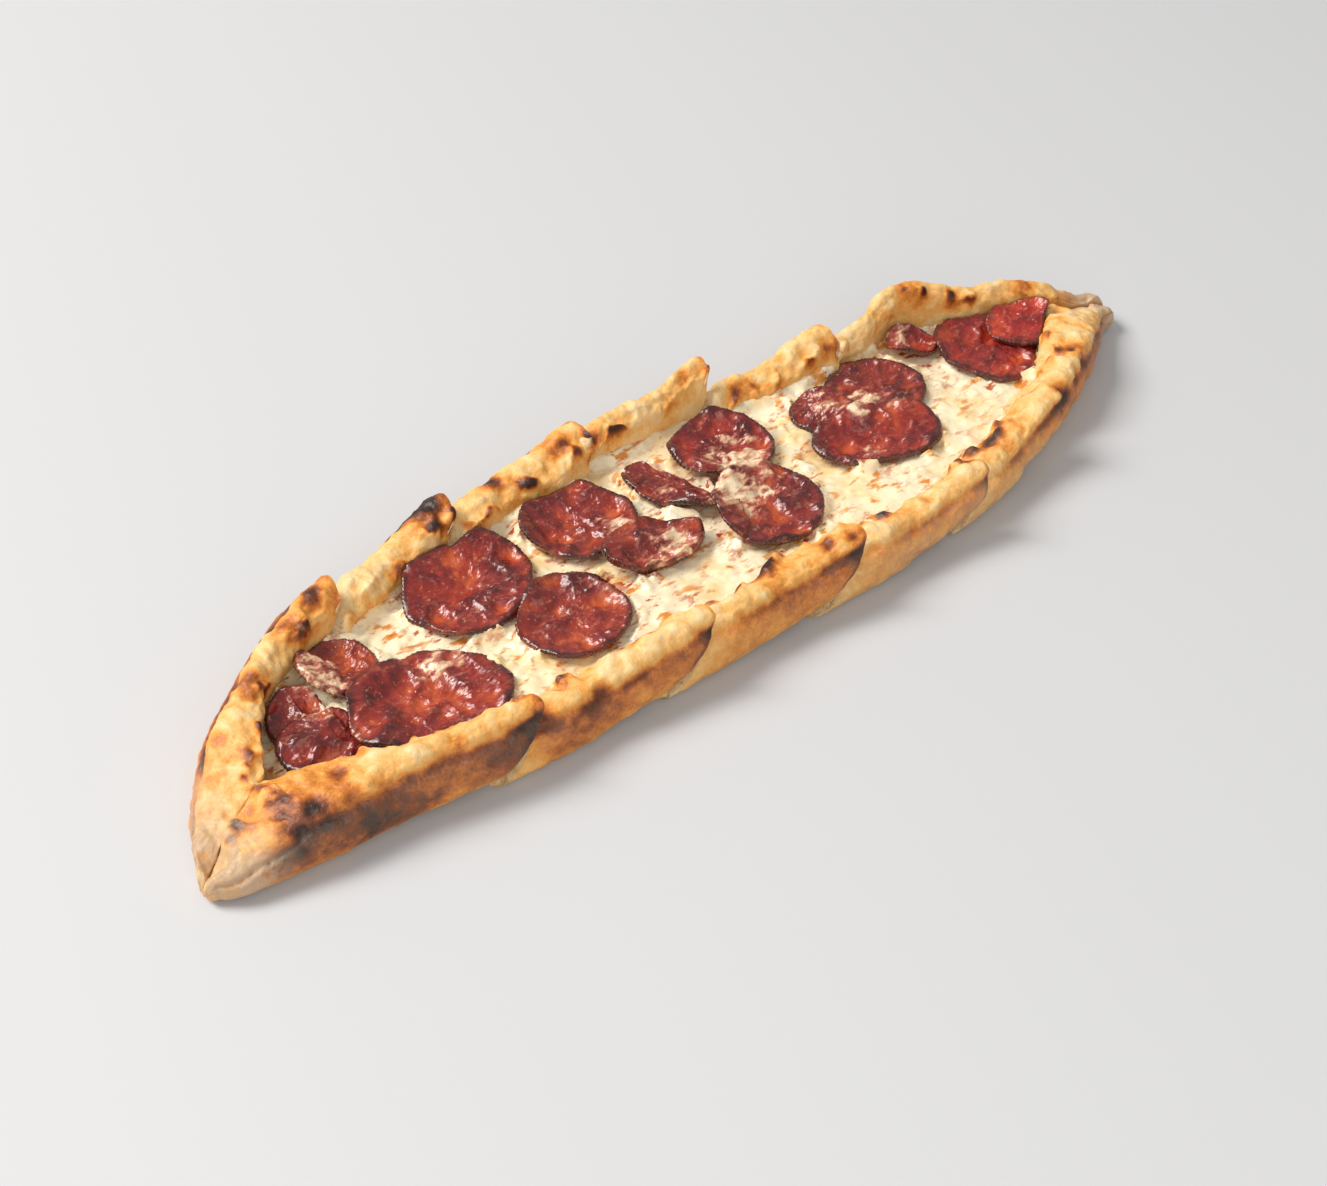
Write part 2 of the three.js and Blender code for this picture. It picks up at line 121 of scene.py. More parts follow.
# Marks of the oven and of flour on the crust: a point near the surface, a radius and a strength.
SCORCHES = [
    (-190, -18, 19, 11, 0.40), (-199, -27, 12, 9, 0.32), (-174, -34, 8, 11, 0.42), (-184, -25, 15, 13, 0.14),
    (-194, 20, 20, 9, 0.2), (-158, -38, 9, 8, 0.22), (-130, -44, 14, 9, 0.22), (-104, -47, 12, 10, 0.22),
    (-136, 47, 27, 4, 0.75), (-150, 42, 25, 5, 0.35), (-172, 32, 24, 4, 0.5),
    (-77, 59, 25, 6, 0.95), (-84, 60, 24, 7, 0.5), (-49, 59, 21, 4, 0.75), (-20, 54, 24, 5, 0.4),
    (-13, -44, 20, 5, 0.7), (10, -49, 24, 3, 0.45), (17, -54, 25, 3, 0.45), (-4, 56, 23, 4, 0.5),
    (66, -41, 20, 4, 0.55), (57, 40, 19, 4, 0.6), (99, 28, 21, 3, 0.5), (103, -48, 19, 4, 0.75),
    (144, -51, 20, 6, 0.85), (197, -10, 15, 5, 0.45), (169, -37, 22, 5, 0.4), (146, 29, 30, 6, 0.4),
    (188, 5, 25, 6, 0.35), (-112, -42, 19, 5, 0.5), (-67, -38, 21, 4, 0.45),
]
FLOUR_MARKS = [
    (-212, -22, 10, 9, 0.9), (-217, -2, 10, 9, 0.55), (-205, 16, 9, 8, 0.4), (218, -14, 9, 11, 0.85),
    (215, -2, 12, 8, 0.7), (45, -62, 6, 14, 0.35), (75, -62, 7, 14, 0.4), (110, -60, 8, 14, 0.3),
]

# Cheese that has run over the sausage: a place, a radius and how thick it is.
FILMS = [
    (-152, 24, 9, 0.6), (-158, 14, 7, 0.7), (-120, 6, 6, 0.7), (-112, 3, 5, 0.5), (-54, -8, 6, 0.35),
    (-26, 16, 6, 0.6), (-20, -8, 9, 0.75), (-30, -9, 6, 0.5), (29, 10, 12, 0.8), (38, 12, 7, 0.75),
    (13, -4, 10, 0.75), (25, -5, 8, 0.7), (92, 4, 9, 0.65), (84, 0, 6, 0.7), (98, -6, 5, 0.5),
    (72, -18, 6, 0.4), (78, 12, 6, 0.6), (-2, 18, 5, 0.45), (132, 22, 5, 0.5),
]

# The way in which the melted cheese was drawn out, across the boat.
STREAKS = math.radians(44.0)
DRAWN_OUT = np.array([[0.72, 0.69, 0.0], [-0.69, 0.72, 0.0], [0.0, 0.0, 1.0]])
DRAWN_STRETCH = np.array([0.4, 1.0, 1.0])

# Red oil that has pooled on the cheese: a place, a radius and how strong it is.
OIL_POOLS = [
    (-43, -19, 13, 0.95), (-31, -28, 9, 0.8), (-97, 2, 11, 0.75), (-105, -8, 7, 0.6), (124, -18, 6, 0.7),
    (62, 24, 7, 0.8), (-8, 4, 9, 0.6), (52, -14, 7, 0.5), (112, 22, 7, 0.7), (-118, 26, 8, 0.6),
]


def smooth(x, low, high):
    """0 below low, 1 above high, and the cubic 3t^2 - 2t^3 between."""
    t = np.clip((x - low) / (high - low), 0.0, 1.0)
    return t * t * (3.0 - 2.0 * t)


def mix(a, b, t):
    """The straight blend from a to b."""
    return a + (b - a) * t


def bell(x, middle, width):
    """1 at the middle, falling as exp(-((x - middle) / width)^2)."""
    return np.exp(-(((x - middle) / width) ** 2))


def hashed(cell, seed):
    """A repeatable number from 0 to 1 for each whole-number lattice point, from mixed integer products."""
    mask = 0xFFFFFFFF
    n = cell[..., 0] * 374761393 + cell[..., 1] * 668265263 + cell[..., 2] * 1442695041 + seed * 974711
    n = n & mask
    n = ((n ^ (n >> 13)) * 1274126177) & mask
    n = ((n ^ (n >> 16)) * 2246822519) & mask
    return ((n ^ (n >> 15)) & mask) / mask


TWIST = np.array([[0.36, 0.48, -0.8], [-0.8, 0.6, 0.0], [0.48, 0.64, 0.6]])


def noise(points, size, seed=0):
    """Smooth noise from -1 to 1: hashed values on a turned lattice of that size, blended by a quintic."""
    q = (points / size) @ TWIST
    cell = np.floor(q).astype(np.int64)
    f = q - cell
    f = f * f * f * (f * (f * 6.0 - 15.0) + 10.0)
    total = np.zeros(points.shape[:-1])
    for corner in np.ndindex(2, 2, 2):
        weight = np.prod(np.where(np.array(corner) == 1, f, 1.0 - f), axis=-1)
        total += weight * hashed(cell + np.array(corner), seed)
    return 2.0 * total - 1.0


def fractal(points, size, seed=0, octaves=4):
    """Noise with finer noise on it: each octave has half the size and half the height of the one before."""
    total = np.zeros(points.shape[:-1])
    for k in range(octaves):
        total += noise(points, size / 2.0**k, seed + 17 * k) / 2.0**k
    return total


def ridges(points, size, seed):
    """Sharp folds from -1 to 1: 1 - 2|noise|, so that a crest runs wherever the noise is nought."""
    return 1.0 - 2.0 * np.abs(noise(points, size, seed))


def domes(points, size, seed, share):
    """Round blisters: in a share of the lattice's cells, sqrt(1 - d^2) within a radius of a hashed point."""
    q = (points / size) @ TWIST
    cell = np.floor(q).astype(np.int64)
    best = np.zeros(points.shape[:-1])
    for step in np.ndindex(3, 3, 3):
        near = cell + np.array(step) - 1
        spot = near + np.stack([hashed(near, seed + k) for k in range(3)], axis=-1)
        radius = 0.22 + 0.3 * hashed(near, seed + 3)
        away = np.linalg.norm(q - spot, axis=-1) / radius
        height = np.sqrt(np.clip(1.0 - away**2, 0.0, 1.0)) * radius / 0.5
        best = np.maximum(best, np.where(hashed(near, seed + 4) < share, height, 0.0))
    return best


def half_width(x):
    """Half the boat's width: the full width times (1 - |t|^power)^fullness, t from 0 amidships to 1."""
    t = np.minimum(1.0, np.abs(x) / (LENGTH / 2.0))
    ends = [
        np.maximum(end.tip, WIDTH / 2.0 * (1.0 - t**end.power) ** end.fullness)
        for end in (LEFT_END, RIGHT_END)
    ]
    return np.where(x < 0.0, *ends)


def centre(x):
    """The centreline: a tanh swing across, less a parabola that bends the left tip back."""
    bent = np.minimum(0.0, (x - BOW.bend_from) / (LENGTH / 2.0 + BOW.bend_from))
    return BOW.offset - BOW.swing * np.tanh((x - BOW.turn) / BOW.reach) - BOW.bend * bent * bent


def wave(x, phase):
    """A slow uneven wave from -1 to 1, out of two sines."""
    slow = np.sin(x / RIM_WAVE.length + phase)
    quick = np.sin(RIM_WAVE.overtone * x / RIM_WAVE.length + 2.0 * phase)
    return mix(slow, quick, RIM_WAVE.mix)


def inside_opening(x):
    """How far x is inside the opening between the flaps."""
    return np.minimum(x - OPENING.left, OPENING.right - x)


def seam(x):
    """How far off the centreline the flaps meet, at the right end."""
    closing = 1.0 - smooth(x, OPENING.right, LENGTH / 2.0)
    return SEAM.shift * smooth(x, SEAM.start, SEAM.full) * closing


def rim_at(x, rim, side):
    """One side's rim at x: outer edge, centreline, height, and the width and the height of its flap's lip."""
    rim_height, rim_flap = rim
    ear = bell(x, EAR.x, EAR.spread) if side > 0 else 0.0 * x
    half = half_width(x) + EAR.flare * ear
    taper = OPENING.far_taper if side > 0 else OPENING.near_taper
    opened = np.clip(inside_opening(x) / taper, 0.0, 1.0) ** 0.6
    tip = smooth(np.abs(x), LENGTH / 2.0 - TIP.run, LENGTH / 2.0)
    height = (rim_height + EAR.rise * ear + RIM_WAVE.height * wave(x, side)) * (1.0 - TIP.drop * tip)
    shut = half - side * seam(x) - CREASE.width / 2.0
    flap = np.minimum(shut, mix(shut, rim_flap + RIM_WAVE.flap * wave(x, 2 + side), opened))
    lip = height - mix(2.0, LIP_DROP, opened)
    floor = mix(lip - CREASE.depth, FLOOR, smooth(inside_opening(x), 0.0, OPENING.ramp))
    return SimpleNamespace(
        half=half, opened=opened, height=height, shut=shut, flap=flap, lip=lip, floor=floor,
        middle=centre(x), turn_up=TIP.keel * tip, shrink=np.minimum(1.0, half / 20.0),
    )


def rim_section(rim):
    """The rim's section, from the underside's edge over the crest to the floor.

    It is a Catmull-Rom curve through its knots. Returns inset from the outer edge, height, and each
    sample's place among the knots."""
    crest = np.minimum(CREST.inset * rim.shrink, CREST.most_of_flap * rim.flap)
    knots = [(UNDERCUT * inset * rim.shrink, rise * rim.height) for inset, rise in OUTER_WALL]
    knots += [
        (BROW.inset * crest, BROW.height * rim.height),
        (crest, rim.height),
        (mix(crest, rim.flap, SAG.along), mix(rim.height, rim.lip, SAG.drop)),
        (rim.flap, rim.lip),
    ]
    knots += [(rim.flap + inset * rim.opened, mix(rim.lip, rim.floor, drop)) for inset, drop in INNER_WALL]
    pairs = [np.stack(np.broadcast_arrays(*knot), axis=-1) for knot in knots]
    table = np.stack(pairs, axis=1)[:, :, 0]
    last = len(knots) - 1
    place = np.linspace(0.0, last, last * SPAN_SAMPLES + 1)
    i = np.minimum(place.astype(int), last - 1)
    t = (place - i)[None, :, None]
    p0, p1, p2, p3 = (table[:, np.clip(i + k, 0, last)] for k in (-1, 0, 1, 2))
    v0, v1 = (p2 - p0) / 2.0, (p3 - p1) / 2.0
    points = (2 * p1 - 2 * p2 + v0 + v1) * t**3 + (-3 * p1 + 3 * p2 - 2 * v0 - v1) * t**2 + v0 * t + p1
    return np.minimum(points[..., 0], rim.shut), np.maximum(points[..., 1], 0.0), place


def slice_frame(index, gap=0.0):
    """A slice between two cuts: its stations follow the nearer cut's skew and lean."""
    left = CUTS[index - 1] if index > 0 else (-LENGTH / 2.0, 0.0, 0.0)
    right = CUTS[index] if index < len(CUTS) else (LENGTH / 2.0, 0.0, 0.0)
    start = left[0] + (gap / 2.0 if index > 0 else 0.0)
    end = right[0] - (gap / 2.0 if index < len(CUTS) else 0.0)

    def skew(share):
        return mix(left[1], right[1], share)

    def place(share, across, z):
        lean = mix(left[2], right[2], share)
        return mix(start, end, share) + skew(share) * across + lean * (z - CHEESE_LEVEL)

    def lift(share, reach):
        rise = smooth(share, LIFT.start, 1.0) * smooth(reach, LIFT.inner, LIFT.outer)
        return LIFT.height * rise if index < len(CUTS) else 0.0 * rise

    def rims(share):
        x = mix(start, end, share)
        across = skew(share) * half_width(x)
        far = rim_at(x + across, FAR_RIMS[index], 1)
        near = rim_at(x - across, NEAR_RIMS[index], -1)
        return centre(x), far, near

    return SimpleNamespace(start=start, end=end, place=place, lift=lift, rims=rims)


def grid_normals(points):
    """Unit normals of a grid of points, from the cross product of its two directions."""
    normal = np.cross(np.gradient(points, axis=1), np.gradient(points, axis=0))
    return -normal / (np.linalg.norm(normal, axis=-1, keepdims=True) + 1e-9)


def mesh_object(name, points, triangles, attributes, material, sharp=50.0):
    """A mesh from arrays in millimetres, with its triangles and its point attributes."""
    a, b, c = triangles.T
    triangles = triangles[(a != b) & (b != c) & (c != a)]
    mesh = bpy.data.meshes.new(name)
    mesh.vertices.add(len(points))
    mesh.vertices.foreach_set("co", (points * MM).astype(np.float32).ravel())
    mesh.loops.add(triangles.size)
    mesh.loops.foreach_set("vertex_index", triangles.astype(np.int32).ravel())
    mesh.polygons.add(len(triangles))
    mesh.polygons.foreach_set("loop_start", np.arange(0, triangles.size, 3, dtype=np.int32))
    mesh.update(calc_edges=True)
    mesh.polygons.foreach_set("use_smooth", np.ones(len(triangles), dtype=bool))
    for key, values in attributes.items():
        layer = mesh.attributes.new(key, "FLOAT", "POINT")
        layer.data.foreach_set("value", values.astype(np.float32).ravel())
    mesh.validate()
    mesh.set_sharp_from_angle(angle=math.radians(sharp))
    mesh.materials.append(material)
    piece = bpy.data.objects.new(name, mesh)
    bpy.context.collection.objects.link(piece)
    return piece


def quads(grid):
    """The triangles of a grid of point numbers."""
    a, b, c, d = grid[:-1, :-1], grid[:-1, 1:], grid[1:, 1:], grid[1:, :-1]
    halves = [np.stack(corners, -1).reshape(-1, 3) for corners in ((a, b, c), (a, c, d))]
    return np.concatenate(halves)


def loft(upper, lower, rows, upper_values, lower_values, cap_values, cap_relief):
    """A closed solid between an upper and a lower grid that share their two long edges, capped at both ends.

    Each cap is the straight blend from the upper edge to the lower one, pushed along X by the relief."""
    stations, lanes = upper.shape[:2]
    ring = np.concatenate([upper, lower[:, -2:0:-1]], axis=1)
    number = np.arange(stations * ring.shape[1]).reshape(stations, -1)
    closed = np.concatenate([number, number[:, :1]], axis=1)
    points = [ring.reshape(-1, 3)]
    triangles = [quads(closed)]
    values = {
        key: [np.concatenate([upper_values[key], lower_values[key][:, -2:0:-1]], axis=1).ravel()]
        for key in upper_values
    }
    count = ring.shape[0] * ring.shape[1]
    for station, outward in ((0, -1.0), (stations - 1, 1.0)):
        top = number[station, :lanes]
        bottom = np.concatenate([top[:1], number[station, :lanes - 1:-1], top[-1:]])
        share = np.linspace(0.0, 1.0, rows + 1)[1:-1, None, None]
        inner = mix(upper[station, None, 1:-1], lower[station, None, 1:-1], share)
        fade = np.sin(np.pi * share[..., 0])
        inner[..., 0] += outward * cap_relief(inner) * fade
        grid = np.empty((rows + 1, lanes), dtype=np.int64)
        grid[0], grid[-1] = top, bottom
        grid[1:-1, 0], grid[1:-1, -1] = top[0], top[-1]
        grid[1:-1, 1:-1] = count + np.arange((rows - 1) * (lanes - 2)).reshape(rows - 1, -1)
        faces = quads(grid)
        triangles.append(faces if outward > 0 else faces[:, ::-1])
        points.append(inner.reshape(-1, 3))
        for key in values:
            values[key].append(np.full(inner.shape[0] * inner.shape[1], cap_values[key][outward > 0]))
        count += inner.shape[0] * inner.shape[1]
    values = {key: np.concatenate(parts) for key, parts in values.items()}
    return np.concatenate(points), np.concatenate(triangles), values


def marked(points, marks):
    """The sum of the marks' bells at each point: strength times exp(-(distance / radius)^2)."""
    total = np.zeros(points.shape[:-1])
    for x, y, z, radius, strength in marks:
        away = np.linalg.norm(points - np.array([x, y, z]), axis=-1) / radius
        total += strength * np.exp(-(away**2.0))
    return total


# How brown each slice's top and outer wall are, how floury its near wall is, and the brown line on its edges.
TOP_BROWN = [0.23, 0.22, 0.24, 0.21, 0.20, 0.21]
WALL_BROWN = [0.48, 0.49, 0.46, 0.37, 0.38, 0.50]
WALL_FLOUR = [0.10, 0.08, 0.12, 0.22, 0.18, 0.12]
FAR_LINE = [0.46, 0.34, 0.30, 0.42, 0.26, 0.50]
NEAR_LINE = 0.31
# How far the knife pressed each slice's left end in, and its right end has sprung out, in millimetres.
PRESSED = [0.0, 1.8, 2.0, 2.6, 3.2, 3.2]
SPRUNG = [1.4, 1.5, 2.0, 2.9, 2.9, 0.0]
# Places on the rim's section, in knots from the underside's edge.
ON_RIM = SimpleNamespace(browned=4.35, ridge=4.4, hollow=6.4, lip=7.7)
# Knobs on the lip: how far they stand up and lean in.
KNOBS = SimpleNamespace(up=2.7, inward=1.1)
# The folded tips: where the folds start, how high they are, and how the last millimetres close in.
TIP_FOLDS = SimpleNamespace(run=30.0, height=1.3)
TIP_END = SimpleNamespace(start=218.0, run=6.0, depth=0.8, keel=3.5)
# How high and how far in the cheese climbs each flap, and how it laps up by the sausage.
CLIMB = SimpleNamespace(far=3.6, far_run=6.5, near=2.6, near_run=5.0)
LAP = SimpleNamespace(height=3.8, outside=4.0, inside=2.4)
# The sausage's edge: share of the reach and share of the thickness, from the top down.
CRIMPED_EDGE = [(1.012, 0.75), (1.018, 0.5), (1.012, 0.25)]
CRIMP = SimpleNamespace(depth=0.18, per_mm=1.9)


def dough_relief(points, knot):
    """The crust's relief along its normals, and its knobs: lumps, wrinkles, blisters and a knobby lip.

    Each is noise of one size, weighted by where on the rim's section a point lies."""
    wall = smooth(knot, 0.4, 1.5) * (1.0 - smooth(knot, 3.9, 4.7))
    top = smooth(knot, 3.9, 4.9) * (1.0 - smooth(knot, 8.6, 9.6))
    lip = bell(knot, ON_RIM.lip, 0.95)
    lumps = fractal(points, 13.0, 1, 3)
    fine = fractal(points, 4.0, 2, 3)
    grain = noise(points, 1.1, 3)
    wrinkles = ridges(points * np.array([0.22, 1.0, 1.0]), 2.6, 4)
    pleats = ridges(points * np.array([1.0, 0.3, 0.3]), 5.0, 7)
    blister = domes(points, 9.0, 5, 0.5) * (top + 0.25 * wall)
    knob = smooth(noise(points * np.array([1.0, 0.7, 0.6]), 5.2, 6), -0.05, 0.65) * lip
    height = lumps * (0.5 * wall + 0.9 * top) + fine * (0.3 * wall + 0.55 * top)
    height += 0.09 * grain * (wall + top) + 0.3 * wrinkles * (wall + 0.5 * bell(knot, 6.0, 0.9))
    height += 1.0 * blister + 0.6 * pleats * bell(knot, 6.8, 1.2)
    height += 1.2 * bell(knot, ON_RIM.ridge, 0.4) - 1.2 * bell(knot, ON_RIM.hollow, 0.85)
    return SimpleNamespace(
        height=height, knob=knob, lumps=lumps, fine=fine, blister=blister, wall=wall, top=top,
    )


def browning_and_shade(index, points, knots, side, share, relief, rim_only):
    """How brown a slice's crust is: the sum of its top, wall, relief, edge line and scorches.

    It is paler at the left end, which lay under the neighbour, and deeper at the right end, with painted
    shade at the cut."""
    crest = bell(knots, ON_RIM.browned, 0.42)
    wall = WALL_BROWN[index] * mix(0.8, 1.05, smooth(knots, 1.2, 4.0)) * mix(0.8, 1.15, share)
    brown = TOP_BROWN[index] * relief.top + wall * relief.wall + 0.10 * smooth(knots, 8.8, 9.6)
    brown = brown + (0.12 - 0.04 * relief.wall) * relief.lumps + (0.09 - 0.04 * relief.wall) * relief.fine
    brown = brown - 0.08 * bell(knots, ON_RIM.hollow, 1.0)
    standing = smooth(relief.fine + relief.lumps, -0.7, 0.7)
    brown += 0.9 * relief.knob**1.5 * standing + 0.36 * relief.blister**2
    line = np.where(side > 0, FAR_LINE[index], NEAR_LINE)
    brown += crest * line * (0.75 + 0.7 * noise(points, 9.0, 8))
    if index > 0:
        brown *= mix(0.5, 1.0, smooth(share, 0.0, 0.28))
    if index < len(CUTS):
        # Towards the right end the edge line deepens, and the narrow dark band at the very end is painted
        # shade at the cut.
        brown += 0.34 * smooth(share, 0.84, 1.0) * crest + 0.22 * smooth(share, 0.955, 0.99) * rim_only
    return brown + marked(points, SCORCHES) * (0.92 + 0.22 * relief.fine)


def dough_slice(index, material):
    """One slice of dough: rings of far rim, floor and near rim, with their relief, over a flat underside."""
    cut = slice_frame(index, gap=CUT_GAP)
    stations = int((cut.end - cut.start) / DOUGH_STEP)
    share = np.linspace(0.0, 1.0, stations)[:, None]
    base, far, near = cut.rims(share)
    far_inset, far_z, knot = rim_section(far)
    near_inset, near_z, _ = rim_section(near)

    across = np.linspace(0.0, 1.0, FLOOR_LANES + 2)[None, 1:-1]
    far_y = far.middle + far.half - far_inset
    near_y = near.middle - near.half + near_inset
    floor_y = mix(far_y[:, -1:], near_y[:, -1:], across)
    floor_z = mix(far_z[:, -1:], near_z[:, -1:], across)
    y = np.concatenate([far_y, floor_y, near_y[:, ::-1]], axis=1)
    z = np.concatenate([far_z, floor_z, near_z[:, ::-1]], axis=1)
    far_reach = 1.0 - far_inset / far.half
    near_reach = 1.0 - near_inset / near.half
    reach = np.concatenate([far_reach, np.zeros_like(floor_y), near_reach[:, ::-1]], axis=1)
    turn_up = np.concatenate([
        far.turn_up + 0.0 * far_z, 0.0 * floor_z, near.turn_up + 0.0 * near_z
    ], axis=1)
    knots = np.concatenate([knot, np.full(FLOOR_LANES, knot[-1]), knot[::-1]])[None, :]
    side = np.concatenate([np.ones(len(knot)), np.zeros(FLOOR_LANES), -np.ones(len(knot))])[None, :]

    upper = np.stack([
        cut.place(share, y - base, z), y, z + cut.lift(share, reach) + turn_up * reach**2
    ], axis=-1)
    relief = dough_relief(upper, knots)
    tip = smooth(np.abs(upper[..., 0]), LENGTH / 2.0 - TIP_FOLDS.run, LENGTH / 2.0)
    held = smooth(knots, 0.0, 1.0) * (1.0 - 0.3 * tip)
    crust = upper + grid_normals(upper) * (relief.height * held)[..., None]
    crust[..., 2] += KNOBS.up * relief.knob * held
    crust[..., 1] -= KNOBS.inward * side * relief.knob * held
    # A slice's left end was pressed in by the knife, and its right end has sprung out over the next slice.
    sprung = SPRUNG[index] * smooth(share, 0.6, 1.0)
    pressed = PRESSED[index] * (1.0 - smooth(share, 0.0, 0.22))
    rim_only = smooth(knots, 1.0, 3.5) * (1.0 - smooth(knots, 8.2, 9.6))
    crust[..., 2] += (sprung - pressed) * rim_only
    crust[..., 1] += side * (sprung - pressed) * 0.9 * rim_only
    folds = ridges(upper * np.array([0.18, 1.0, 1.0]), 7.0, 12)
    crust[..., 2] += TIP_FOLDS.height * folds * tip * rim_only
    crust[..., 2] = np.maximum(crust[..., 2], 0.0)

    # The underside: each sample drops to a point that never lies further out than the samples before it.
    def under(inset, rim):
        ramp = UNDERCUT * rim.shrink * (1.0 + 0.25 * smooth(knot, 0.0, 6.0)[None, :])
        return np.maximum.accumulate(np.maximum(ramp, np.minimum(inset, 0.98 * rim.half)), axis=1)

    far_under, near_under = under(far_inset, far), under(near_inset, near)
    lower_y = np.concatenate([
        far.middle + far.half - far_under, floor_y, (near.middle - near.half + near_under)[:, ::-1]
    ], axis=1)
    lower_reach = np.concatenate([
        1.0 - far_under / far.half, np.zeros_like(floor_y), (1.0 - near_under / near.half)[:, ::-1]
    ], axis=1)
    lower = np.stack([
        cut.place(share, lower_y - base, 0.0), lower_y,
        cut.lift(share, lower_reach) + turn_up * lower_reach**2,
    ], axis=-1)
    lower[:, 0], lower[:, -1] = crust[:, 0], crust[:, -1]

    # The tips: the last millimetres close in towards the keel as a quarter circle.
    into_tip = np.clip((np.abs(mix(cut.start, cut.end, share)) - TIP_END.start) / TIP_END.run, 0.0, 1.0)
    closing = np.sqrt(1.0 - TIP_END.depth * into_tip**2)
    for surface in (crust, lower):
        surface[..., 1] = mix(base, surface[..., 1], closing)
        surface[..., 2] = mix(TIP_END.keel, surface[..., 2], closing)

    brown = browning_and_shade(index, upper, knots, side, share, relief, rim_only)
    flour = WALL_FLOUR[index] * relief.wall * (side < 0) + 0.6 * bell(knots, 0.4, 0.7)
    flour = flour + marked(upper, FLOUR_MARKS) + 0.8 * tip
    # Painted shade: the troughs between the folds at the tips are darkened.
    brown += 0.28 * tip * smooth(-folds, 0.3, 0.9)
    lower_noise = fractal(lower, 18.0, 9, 3)
    left_tip, right_tip = index == 0, index == len(CUTS)
    points, triangles, values = loft(
        crust, lower, CUT_ROWS,
        {"brown": brown, "flour": flour * np.ones_like(brown), "crumb": np.zeros_like(brown)},
        {
            "brown": 0.5 + 0.2 * lower_noise, "flour": 0.5 + 0.3 * lower_noise,
            "crumb": np.zeros_like(lower_noise),
        },
        {
            "brown": (0.3 if left_tip else 0.05, 0.3 if right_tip else 0.05),
            "flour": (0.8 * left_tip, 0.8 * right_tip),
            "crumb": (float(not left_tip), float(not right_tip)),
        },
        lambda p: 0.7 * fractal(p, 2.6, 11, 3) - 1.2 * domes(p, 4.0, 13, 0.5),
    )
    piece = mesh_object(f"crust_{index + 1}", points, triangles, values, material)
    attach(piece, "root")
    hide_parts(f"dough_{index + 1}")


def cheese_top(x, y):
    """The solids' cheese level: a low product of two sines."""
    swell = np.sin(x / CHEESE_SWELL.along + 1.0) * np.sin(y / CHEESE_SWELL.across + x / CHEESE_SWELL.twist)
    return CHEESE_LEVEL + CHEESE_SWELL.height * swell


def in_round(slice_, x, y):
    """A point's distance from a slice's middle, as a share of its half-widths, and its turned coordinates."""
    dx, dy = x - slice_.x, y - slice_.y
    u = dx * math.cos(slice_.turn) + dy * math.sin(slice_.turn)
    v = dy * math.cos(slice_.turn) - dx * math.sin(slice_.turn)
    return np.hypot(u / slice_.a, v / slice_.b), u, v


def cheese_slice(index, material):
    """One slice's cheese: a lumpy sheet between the flaps that climbs their walls, over a flat bottom."""
    cut = slice_frame(index)
    first = (CHEESE_ENDS.left - cut.start) / (cut.end - cut.start) if index == 0 else 0.0
    last = (CHEESE_ENDS.right - cut.start) / (cut.end - cut.start) if index == len(CUTS) else 1.0
    stations = int((cut.end - cut.start) * (last - first) / CHEESE_STEP)
    share = np.linspace(first, last, stations)[:, None]
    base, far, near = cut.rims(share)
    far_edge = far.middle + far.half - far.flap + 0.6 * far.opened
    near_edge = near.middle - near.half + near.flap - 0.6 * near.opened
    lane = np.linspace(0.0, 1.0, CHEESE_LANES)[None, :]
    y = mix(far_edge, near_edge, lane)
    x = cut.place(share, y - base, CHEESE_LEVEL)
    flat = np.stack([x, y, np.full_like(x, CHEESE_LEVEL)], axis=-1)
    from_far, from_near = far_edge - y, y - near_edge
    climb = CLIMB.far * (1.0 - smooth(from_far, 0.0, CLIMB.far_run)) * (0.8 + 0.5 * noise(flat, 8.0, 21))
    climb += CLIMB.near * (1.0 - smooth(from_near, 0.0, CLIMB.near_run)) * (0.8 + 0.5 * noise(flat, 8.0, 22))
    lumps = fractal(flat, 15.0, 23, 3)
    fine = fractal(flat, 4.5, 24, 3)
    blister = domes(flat, 11.0, 25, 0.45)
    bubble = domes(flat, 5.0, 28, 0.4)
    # Oil is a red stain that fades from each sausage slice's edge, where the cheese also laps up in places.
    oil, lapped, deepest = np.zeros_like(x), np.zeros_like(x), np.full_like(x, 2.0)
    for slice_ in SUCUK:
        share_out, _, _ = in_round(slice_, x, y)
        past = (share_out - 1.0) * min(slice_.a, slice_.b)
        oil = np.maximum(oil, np.exp(-np.maximum(past, 0.0) / 8.0))
        deepest = np.minimum(deepest, share_out)
        fall = np.where(past > 0.0, past / LAP.outside, -past / LAP.inside)
        lapped = np.maximum(lapped, np.exp(-fall))
    for pool_x, pool_y, radius, strength in OIL_POOLS:
        oil = np.maximum(oil, strength * bell(np.hypot(x - pool_x, y - pool_y), 0.0, radius))
    oil = np.clip(0.03 + oil * (0.85 + 0.7 * fractal(flat, 6.0, 26, 3)), 0.0, 1.0)
    z = cheese_top(x, y) + climb + 0.9 * lumps + 0.38 * fine + 1.1 * blister + 0.55 * bubble
    in_places = smooth(noise(flat, 9.0, 29) + 0.3 * fine, 0.0, 0.55)
    z += LAP.height * lapped * smooth(deepest, 0.80, 0.95) * in_places
    upper = np.stack([x, y, z], axis=-1)
    lower = np.stack([cut.place(share, y - base, FLOOR), y, np.full_like(x, FLOOR + 0.6)], axis=-1)
    lower[:, 0], lower[:, -1] = upper[:, 0], upper[:, -1]
    toast = 0.5 + 0.5 * lumps + 0.35 * blister + 0.25 * climb
    zeros = np.zeros_like(x)
    points, triangles, values = loft(
        upper, lower, CHEESE_CUT_ROWS,
        {"oil": oil, "toast": toast},
        {"oil": zeros, "toast": zeros},
        {"oil": (0.0, 0.0), "toast": (0.2, 0.2)},
        lambda p: 0.0 * p[..., 0],
    )
    piece = mesh_object(f"melted_cheese_{index + 1}", points, triangles, values, material)
    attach(piece, "root")
    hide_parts(f"cheese_{index + 1}")


